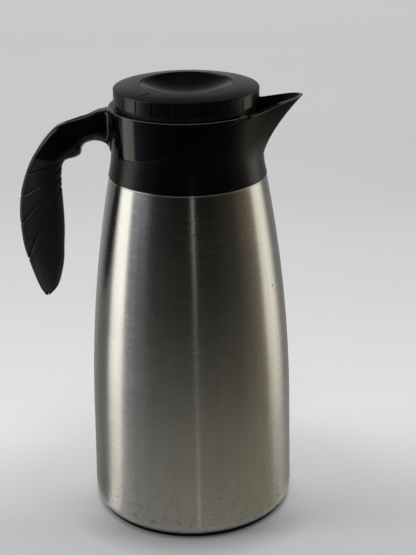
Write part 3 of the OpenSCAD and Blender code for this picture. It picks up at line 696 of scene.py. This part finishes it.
def half_section():
    """Half section from the middle of the flat back to the middle of the inner edge."""
    points = [(1.0, 0.5 * k / BACK_STEPS) for k in range(BACK_STEPS)]
    last = len(SECTION) - 1
    points += [tuple(spline(SECTION, last * k / SECTION_STEPS)) for k in range(SECTION_STEPS + 1)]
    points += [(0.0, 0.12), (0.0, 0.0)]
    return [(min(1.0, place), max(0.0, width)) for place, width in points]


HALF_SECTION = half_section()


def half_width(width, back, middle):
    """A width of SECTION as a share of the handle's half width."""
    return width * back if width < 1 else lerp(back, middle, (width - 1) / (WIDEST - 1))


def handle_ring(row, half):
    """One closed ring of the handle at a row."""
    back = np.array([-(COLLAR_R + row[0] - 0.012), RIM_Z - row[1]])
    inner = np.array([-(COLLAR_R + row[2]), RIM_Z - row[3]])
    left = []
    for place, width in HALF_SECTION:
        x, z = lerp(inner, back, place)
        left.append((x, -half_width(width, row[4], row[5]) * half, z))
    return left + [(x, -y, z) for x, y, z in left[-2:0:-1]]


def ring_normals(flat):
    """Outward normals of a closed ring of flat points, evened out along the ring."""
    along = np.roll(flat, -1, 0) - np.roll(flat, 1, 0)
    normal = np.stack([along[:, 1], -along[:, 0]], 1)
    normal /= np.maximum(1e-9, np.linalg.norm(normal, axis=1))[:, None]
    if ((flat - flat.mean(0)) * normal).sum() < 0:
        normal = -normal
    for _ in range(4):
        normal = (np.roll(normal, 1, 0) + 2 * normal + np.roll(normal, -1, 0)) / 4
    return normal / np.maximum(1e-9, np.linalg.norm(normal, axis=1))[:, None]


def root_fillet(ring):
    """Flares one ring of the arm where it runs into the band."""
    points = np.array(ring)
    axis = points[0] - points[len(points) // 2]
    axis /= np.linalg.norm(axis)
    normals = ring_normals(np.stack([points @ axis, points[:, 1]], 1))
    flared = []
    for point, (up, across) in zip(points, normals):
        gap = math.hypot(point[0], point[1]) - wall_r(point[2]) - BAND_PROUD
        size = FILLET_ABOVE * max(0.0, up) ** 2 + FILLET_BELOW * max(0.0, -up) ** 2
        size += FILLET_SIDE * across ** 2
        near = min(1.0, max(0.0, 1 - gap / size))
        push = size * (1 - math.sqrt(max(0.0, 1 - near * near)))
        moved = point + axis * up * push
        moved[1] = point[1] + across * push
        flared.append(tuple(moved))
    return flared


THUMB_X, THUMB_L, THUMB_W = -69.5, 11.2, 4.6
THUMB_EDGE = 0.33
RIB_PITCH = 0.95
RIB_H = 0.2
THUMB_STEPS = 260
HOLLOW_UNDER_THUMB = 1.5
last_row = len(ARM_ROWS) - 1
arm_steps = list(np.linspace(0.0, 2.2, 60)) + list(np.linspace(2.2, last_row, 200))[1:]
arm_rings = [root_fillet(handle_ring(spline(ARM_ROWS, t), ARM_HALF)) for t in arm_steps]
arm_back = sorted([(ring[0][0], ring[0][2]) for ring in arm_rings], reverse=True)


def arm_top(x):
    """Height of the arm's flat back at x."""
    return float(np.interp(-x, [-p[0] for p in arm_back], [p[1] for p in arm_back]))


def thumb_half(u):
    """Half width of the pointed thumb rest, u from -1 to 1 along it."""
    side = (THUMB_L ** 2 + THUMB_W ** 2) / (2 * THUMB_W)
    return max(0.0, math.sqrt(max(0.0, side ** 2 - (u * THUMB_L) ** 2)) - side + THUMB_W)


def under_thumb(x, y, z):
    """Whether a point of the arm's back lies under the thumb rest."""
    u = (x - THUMB_X) / THUMB_L
    return abs(u) < 0.93 and z > arm_top(x) - 0.6 and abs(y) < thumb_half(u / 0.93) - 0.35


# the arm is hollowed where the thumb rest lies in it
hollowed = [[(x, y, z - HOLLOW_UNDER_THUMB * under_thumb(x, y, z)) for x, y, z in ring]
            for ring in arm_rings]
arm = skin("handle_arm", hollowed, 24, caps=True)
dress(arm, FRAME, "flask", "frame_plastic", "handle_frame")


def thumb_height(x, u, v, w):
    """Top of the thumb rest: a raised edge round a hollow with fine ribs across it."""
    rib = 0.5 - 0.5 * math.cos(2 * math.pi * u * THUMB_L / RIB_PITCH)
    from_edge = (1 - abs(v)) * w
    edge = THUMB_EDGE * ease(from_edge / 0.35)
    hollow = ((1 - v * v) * (1 - u * u)) ** 0.8
    return arm_top(x) - 0.25 + edge - hollow + RIB_H * rib * ease(from_edge / 1.1 - 0.25)


half_across = [0.2, 0.38, 0.55, 0.7, 0.82, 0.9, 0.95, 0.985, 1]
across_thumb = [-v for v in half_across[::-1]] + [0] + half_across
thumb_rows = []
for k in range(THUMB_STEPS + 1):
    u = lerp(-0.995, 0.995, k / THUMB_STEPS)
    x, w = THUMB_X + u * THUMB_L, max(0.05, thumb_half(u))
    row = [(x, v * w, thumb_height(x, u, v, w)) for v in across_thumb]
    row += [(x, v * w * 0.94, arm_top(x) - 1.9) for v in (1, 0, -1)]
    thumb_rows.append(row)
thumb = skin("thumb_rest", thumb_rows, 40, caps=True)
dress(thumb, PAD, "flask", "grip_rubber", "thumb_pad")

# ---------------------------------------------------------------- grip
GRIP_STEPS = 440
# each groove's start, middle and end, as how far out and how far below the rim
GROOVES = [[[30.5, 35.8], [37.5, 37.6], [57.5, 44.5]], [[31.8, 40.2], [45.0, 49.8], [61.5, 60.0]],
           [[32.0, 46.2], [46.8, 61.0], [62.6, 80.0]], [[32.8, 53.8], [46.4, 76.0], [58.4, 104.5]]]
GROOVE_HALF = 0.26
GROOVE_EDGE = 0.26
GROOVE_DEPTH = 0.95


def groove_line(groove):
    """A curve through a groove's three points, as (x, z) points."""
    start, middle, end = (np.array(p, float) for p in groove)
    t = np.linspace(0, 1, 60)[:, None]
    pull = 4 * middle - start - end
    line = start * (1 - t) ** 2 + pull * t * (1 - t) + end * t ** 2
    return np.stack([-(COLLAR_R + line[:, 0]), RIM_Z - line[:, 1]], 1)


def carve(ob):
    """Sinks the grooves into the grip's skin."""
    places = np.array([v.co for v in ob.data.vertices]) / MM
    normals = np.array([v.normal for v in ob.data.vertices])
    side = places[:, [0, 2]]
    depth = np.zeros(len(places))
    for line in map(groove_line, GROOVES):
        away = np.full(len(places), 1e9)
        for p, q in zip(line[:-1], line[1:]):
            d = q - p
            u = np.clip(((side - p) @ d) / (d @ d), 0, 1)
            away = np.minimum(away, np.linalg.norm(side - p - u[:, None] * d, axis=1))
        step = np.clip((away - GROOVE_HALF) / GROOVE_EDGE, 0, 1)
        depth = np.maximum(depth, GROOVE_DEPTH * (1 - step * step * (3 - 2 * step)))
    places = (places - normals * depth[:, None]) * MM
    ob.data.vertices.foreach_set("co", places.ravel())
    ob.data.update()


grip_rings = []
for k in range(GRIP_STEPS + 1):
    down = k / GRIP_STEPS
    row = spline(GRIP_ROWS, (len(GRIP_ROWS) - 1) * down)
    grip_rings.append(handle_ring(row, lerp(ARM_HALF, GRIP_HALF, down)))
grip = skin("grip_sleeve", grip_rings, 30, caps=True)
carve(grip)
dress(grip, GRIP, "flask", "grip_rubber", "handle_grip")


# ---------------------------------------------------------------- lid
def lid_crown():
    """The slightly domed top, from the crease in to the dish."""
    crease = arc(LID_R - CREASE_ROUND, CREASE_Z - CREASE_ROUND, CREASE_ROUND, 0, 78, 8)
    r0, z0 = crease[-1]
    crown = []
    for r in np.arange(r0 - 0.6, CROWN_END + 0.2, -0.28):
        t = (r0 - r) / (r0 - CROWN_END)
        crown.append((r, z0 + (LID_Z - z0) * (t + CROWN_DOME * math.sin(math.pi * t) / (1 + 0.4 * t))))
    return crease + crown


def lid_profile():
    """Half section of the lid: its underside out to the skirt, its side, its top, and the dish's well."""
    under = [(0.01, WELL_LOW), (20.0, WELL_LOW), (WELL_R - 0.4, WELL_LOW), (WELL_R, WELL_LOW + 0.4),
             (WELL_R, LID_Z - 3.4), (WELL_R + 0.4, LID_Z - 3.0), (SKIRT_IN - 0.6, CREASE_Z - 2.5),
             (SKIRT_IN, CREASE_Z - 3.1), (SKIRT_IN, SKIRT_Z + 0.3), (SKIRT_IN + 0.3, SKIRT_Z)]
    side = [(LID_R - 0.3, SKIRT_Z), (LID_R - 0.08, SKIRT_Z + 0.08), (LID_R, SKIRT_Z + 0.3)]
    side += [(LID_R, z) for z in np.linspace(SKIRT_Z + 0.8, CREASE_Z - 1.7, 12)]
    side += [(LID_R, CREASE_Z - down) for down in (1.45, 1.25, 1.1, 0.95)]
    edge = ((CROWN_END, 0.0), (30.5, 0.02), (30.3, 0.09), (30.12, 0.22), (30.0, 0.42), (29.94, 0.7),
            (HOLE_R, 1.2))
    hole = [(r, LID_Z - down) for r, down in edge]
    well = [(HOLE_R, WELL_FLOOR + 0.2), (29.7, WELL_FLOOR), (15.0, WELL_FLOOR), (0.01, WELL_FLOOR)]
    return under + side + lid_crown() + hole + well


def slot_depth(r, a):
    """Depth of the index slot in the lid's top."""
    across = math.radians(abs((a - INDEX + 180) % 360 - 180)) * r
    ends = ease((r - INDEX_IN) / 0.4) * ease((INDEX_OUT - r) / 0.4)
    return INDEX_DEPTH * ease((INDEX_HALF - across) / 0.22) * ends


def flute(z, a):
    """Depth of the grooves between the finger pads, which stop under the crease."""
    turn = abs((a - INDEX + 0.5 * PAD_PITCH) % PAD_PITCH - 0.5 * PAD_PITCH)
    across = math.radians(turn) * LID_R
    return FLUTE_DEPTH * ease((FLUTE_HALF - across) / 0.22) * ease((CREASE_Z - 1.0 - z) / 0.35)


def lid_azimuths():
    """Fine steps at each groove and finer ones at the index slot."""
    groove = [0.18, 0.36, 0.47, 0.56, 0.66]
    offsets = [-o for o in groove] + [0] + groove + [1.3, 2.4, 3.8, 5.6, 7.5, 9.4, 11.2, 12.6, 13.7]
    steps = {INDEX + PAD_PITCH * k + o for k in range(PAD_COUNT) for o in offsets}
    steps |= {INDEX + o for o in np.arange(-1.3, 1.31, 0.13)}
    return sorted({round(a % 360, 3) for a in steps})


lid_rows = []
for a in lid_azimuths():
    row = []
    for r, z in lid_profile():
        if r > 46.0 and z < CREASE_Z - 0.8:
            r -= flute(z, a)
        elif z > CREASE_Z:
            z -= slot_depth(r, a)
        row.append(at(r, z, a))
    lid_rows.append(row)
lid = skin("lid_shell", lid_rows, 32, close_rows=True)
dress(lid, LID, "lid", "lid_plastic", "lid_cap")

# glossy dish: a small dark step, then a smooth bowl
bowl_sphere = (BOWL_R ** 2 + BOWL_D ** 2) / (2 * BOWL_D)


def bowl_z(r):
    """Height of the bowl's skin above its lowest point."""
    return bowl_sphere - math.sqrt(bowl_sphere ** 2 - r ** 2)


bowl_low = LID_Z - BOWL_DROP - BOWL_D
dish = [(r, LID_Z - down) for r, down in ((29.85, 2.0), (29.85, 0.85), (29.75, 0.65), (29.55, 0.55),
                                          (BOWL_R, 0.62))]
dish += [(r, bowl_low + bowl_z(r)) for r in np.linspace(28.9, 0.01, 70)]
dish += [(r, bowl_low - 1.2 + bowl_z(r)) for r in np.linspace(0.01, 27.6, 24)]
dish += [(28.2, LID_Z - 5.8), (29.8, LID_Z - 5.8)]
dress(revolve("dish_bowl", dish, 200, 60), DISH, "lid", "dish_plastic", "lid_dish")

# ---------------------------------------------------------------- rim tick at the band's tail
TICK_Z = RIM_Z - 0.9
# height from TICK_Z, and how proud the bar stands there
TICK_ROWS = ((-1.6, 0.2), (-1.2, 0.45), (0.6, 0.45), (1.1, 0.2))


def tick_bar(a):
    """One upright bar with tapered ends."""
    r = outer_at(a, TICK_Z)
    bar = []
    for dz, proud in TICK_ROWS:
        z = TICK_Z + dz
        bar.append([at(r - 0.6, z, a - 0.5), at(r + proud, z, a - 0.25),
                    at(r + proud, z, a + 0.25), at(r - 0.6, z, a + 0.5)])
    return grid(bar, caps=True)


tick_verts, tick_faces = [], []
for azimuth in (-38.6, -40.4):
    verts, faces = tick_bar(azimuth)
    tick_faces += [tuple(i + len(tick_verts) for i in face) for face in faces]
    tick_verts += verts
dress(outward(make("rim_tick", tick_verts, tick_faces, 40)), COLLAR, "flask", "collar_plastic")

# ---------------------------------------------------------------- floor and backdrop
FLOOR_HALF = 6000.0
FLOOR_FRONT = -4000.0
SWEEP_Y = 1600.0
SWEEP_R = 800.0
WALL_TOP = 4000.0
# painted light and shade on the table, by its place along Y in metres: darkest in front of the
# carafe, lighter just behind it, a little darker again, then pale at the backdrop
FLOOR_TONES = ((-0.05, 0.46), (0.01, 0.575), (0.045, 0.64), (0.08, 0.70), (0.12, 0.683), (0.16, 0.655),
               (0.26, 0.631), (0.375, 0.605), (0.515, 0.60), (0.685, 0.577), (0.9, 0.603), (1.17, 0.665),
               (1.53, 0.73), (2.4, 0.76))
# extra light on the table beside the body, by distance from its middle in metres
BESIDE_TONES = ((0.070, 0.30), (0.0835, 0.14), (0.095, 0.07), (0.116, 0.0))


def floor_material():
    """A pale table whose tone follows the photo from front to back."""
    m = Surface("floor_pale", Roughness=0.75, Specular_IOR_Level=0.15)
    place = m.split(m.coords())
    # painted light and shade on the table from front to back
    tone = m.ramp(place["Y"], -0.2, 2.4, FLOOR_TONES)
    away = m.math("SQRT", m.plus(m.times(place["X"], place["X"]), m.times(place["Y"], place["Y"])))
    # a lighter table beside the base, and a deeper contact shadow in front of it
    light = m.times(m.ramp(away, 0.06, 0.12, BESIDE_TONES), m.remap(place["Y"], -0.03, 0.01))
    shadow = m.times(m.remap(away, 0.070, 0.097, 0.42, 0.0), m.remap(place["Y"], -0.03, -0.06))
    m.to("Base Color", m.times(tone, m.math("SUBTRACT", m.plus(1.0, light), shadow)))
    return m.material


def floor_line(x):
    """One edge of the floor, which sweeps up into a backdrop."""
    line = [(x, y, 0.0) for y in np.linspace(FLOOR_FRONT, SWEEP_Y, 15)]
    for u in np.linspace(0.1, math.pi / 2, 14):
        line.append((x, SWEEP_Y + SWEEP_R * math.sin(u), SWEEP_R - SWEEP_R * math.cos(u)))
    return line + [(x, SWEEP_Y + SWEEP_R, WALL_TOP)]


floor = make("floor", *grid([floor_line(-FLOOR_HALF), floor_line(FLOOR_HALF)], close_cols=False))
floor.data.materials.append(floor_material())

world = bpy.data.worlds.new("studio")
bpy.context.scene.world = world
world.use_nodes = True
background = world.node_tree.nodes["Background"]
background.inputs["Color"].default_value = (0.8, 0.81, 0.82, 1)
background.inputs["Strength"].default_value = 0.74


# ---------------------------------------------------------------- lamps
def area_lamp(name, size, place, aim, power):
    """A rectangular lamp, in metres and watts, that isn't seen in reflections."""
    light = bpy.data.lights.new(name, "AREA")
    light.shape = "RECTANGLE"
    light.size, light.size_y = size
    light.energy = power
    ob = bpy.data.objects.new(name, light)
    ob.location = place
    ob.rotation_euler = (Vector(aim) - Vector(place)).to_track_quat("-Z", "Y").to_euler()
    ob.visible_glossy = False
    bpy.context.scene.collection.objects.link(ob)


area_lamp("top_soft", (1.2, 1.2), (0.1, -0.2, 1.9), (0, 0, 0.1), 21.6)
area_lamp("left_soft", (0.5, 1.2), (-1.5, -0.3, 0.9), (0, 0, 0.15), 8.1)

# ---------------------------------------------------------------- what the carafe reflects
# A drum of soft cards round the object, seen only in reflections. Directions are in degrees: 0 is
# straight in front, where the camera stands, -90 is to the left and 90 to the right.
DRUM_PROFILE = ((78, 0.3), (150, 0.4), (300, 0.5), (600, 0.5), (1000, 0.6), (1000, 500), (1000, 1000),
                (1000, 1900), (550, 2000), (20, 2000))
# the radius of the steel's skin and the height that directions are seen from, in metres
SKIN_R = 0.064
EYE_Z = 0.12
# above the table: bright cards left and right, a dark room in front, a pale wall behind
ROOM = ((-180, 0.46), (-150, 0.34), (-136, 0.15), (-112, 0.14), (-106, (1.58, 1.56, 1.44)),
        (-87, (1.58, 1.56, 1.46)), (-84, (0.24, 0.24, 0.245)), (-78, (0.13, 0.14, 0.16)),
        (-72, (0.13, 0.155, 0.21)), (-69, (0.08, 0.085, 0.09)), (-45, 0.02), (-15, 0.002), (30, 0.003),
        (62, (0.025, 0.025, 0.02)), (84, (0.12, 0.095, 0.070)), (97, (0.21, 0.17, 0.13)),
        (103, (0.98, 0.94, 0.79)), (118, (1.22, 1.18, 1.02)), (124, (0.92, 0.89, 0.77)),
        (130, (0.34, 0.33, 0.30)), (137, (0.18, 0.18, 0.17)), (160, 0.24), (180, 0.46))
# on the table near the body
TABLE = ((-180, 0.42), (-130, 0.18), (-113, 0.17), (-104, (0.76, 0.74, 0.66)), (-92, (0.74, 0.72, 0.66)),
         (-88, 0.36), (-70, (0.25, 0.248, 0.235)), (-30, (0.255, 0.25, 0.22)), (7.2, (0.26, 0.25, 0.21)),
         (60, (0.24, 0.23, 0.18)), (95, (0.25, 0.235, 0.18)), (110, (0.33, 0.305, 0.25)),
         (122, (0.38, 0.35, 0.30)), (136, (0.25, 0.24, 0.22)), (180, 0.42))
# by elevation: how much of the room takes over from the table, and how it fades to the ceiling
ROOM_SHARE = ((-42, 0.0), (-30, 0.20), (-20, 0.61), (-11, 0.91), (-3, 1.0))
ROOM_FADE = ((12, 1.0), (24, 0.85), (38, 0.28), (52, 0.10))
# a soft box high on the left, seen in the handle's edge and the lid's rim
BOX_TURN = ((-122, 0.0), (-112, 1.0), (-66, 1.0), (-58, 0.0))
BOX_RISE = ((20, 0.0), (27, 1.0), (44, 1.0), (50, 0.0))
BOX_GAIN = 1.3
# a thin gap of light almost straight in front, low down and high up
GAP_TURN = ((4.9, 0.0), (5.4, 1.0), (6.2, 1.0), (6.7, 0.0))
GAP_RISE = ((-24, 0.2), (-19, 0.0), (-3, 0.0), (0, 0.5), (4, 0.8), (10, 1.1), (36, 1.1), (50, 0.0))


def card_material():
    """Light that depends on the direction from the carafe, in place of a studio."""
    m = Nodes("reflection_cards")
    m.tree.nodes.clear()
    place = m.split(m.coords())
    x, y = place["X"], place["Y"]
    away = m.math("SQRT", m.plus(m.times(x, x), m.times(y, y)))
    # the cards stand in directions seen from the steel's skin, not from the axis
    plain = m.math("ARCTAN2", x, m.times(y, -1.0))
    turn = plain
    for _ in range(3):
        half_sine = m.math("SINE", m.times(turn, 0.5))
        turn = m.plus(plain, m.math("ARCSINE", m.math("DIVIDE", m.times(half_sine, SKIN_R), away)))
    rise = m.math("ARCTAN2", m.math("SUBTRACT", place["Z"], EYE_Z), away)
    turn, rise = m.math("DEGREES", turn), m.math("DEGREES", rise)

    def by_turn(stops):
        return m.ramp(turn, -180, 180, stops)

    def by_rise(stops):
        return m.ramp(rise, -60, 60, stops)

    box = m.times(m.times(by_turn(BOX_TURN), by_rise(BOX_RISE)), BOX_GAIN)
    gap = m.times(by_turn(GAP_TURN), by_rise(GAP_RISE))
    room = m.vector("ADD", m.vector("MULTIPLY", by_turn(ROOM), by_rise(ROOM_FADE)), box)
    seen = m.mix(by_rise(ROOM_SHARE), by_turn(TABLE), room)
    glow = m.node("ShaderNodeEmission")
    m.link(m.vector("ADD", seen, gap), glow.inputs["Color"])
    m.link(glow.outputs[0], m.node("ShaderNodeOutputMaterial").inputs["Surface"])
    return m.material


drum_rows = [[at(r, z, 2.0 * k - 90.0) for r, z in DRUM_PROFILE] for k in range(181)]
drum = make("reflection_drum", *grid(drum_rows, close_cols=False))
drum.data.materials.append(card_material())
for ray in ("camera", "diffuse", "shadow", "transmission", "volume_scatter"):
    setattr(drum, "visible_" + ray, False)

# ---------------------------------------------------------------- camera
# in metres and degrees, fitted to the photo
CAMERA_PLACE = (0.0, -0.8260, 0.4927)
PITCH, YAW, ROLL = (math.radians(a) for a in (21.696, 0.866, -0.775))
FOCAL_PIXELS = 1300.0
IMAGE_HEIGHT = 555.0
SENSOR = 36.0

ahead = Vector((math.sin(YAW) * math.cos(PITCH), math.cos(YAW) * math.cos(PITCH), -math.sin(PITCH)))
level = Vector((math.cos(YAW), -math.sin(YAW), 0))
upright = level.cross(ahead)
lens = bpy.data.cameras.new("camera")
lens.sensor_fit = "VERTICAL"
lens.sensor_height = SENSOR
lens.sensor_width = SENSOR
lens.lens = FOCAL_PIXELS / IMAGE_HEIGHT * SENSOR
lens.clip_end = 50
camera = bpy.data.objects.new("camera", lens)
turn_right = level * math.cos(ROLL) + upright * math.sin(ROLL)
turn_up = -level * math.sin(ROLL) + upright * math.cos(ROLL)
pose = Matrix.Identity(4)
for i, column in enumerate((turn_right, turn_up, -ahead, Vector(CAMERA_PLACE))):
    for j in range(3):
        pose[j][i] = column[j]
camera.matrix_world = pose
bpy.context.scene.collection.objects.link(camera)
bpy.context.scene.camera = camera
bpy.context.scene.view_settings.view_transform = "Standard"
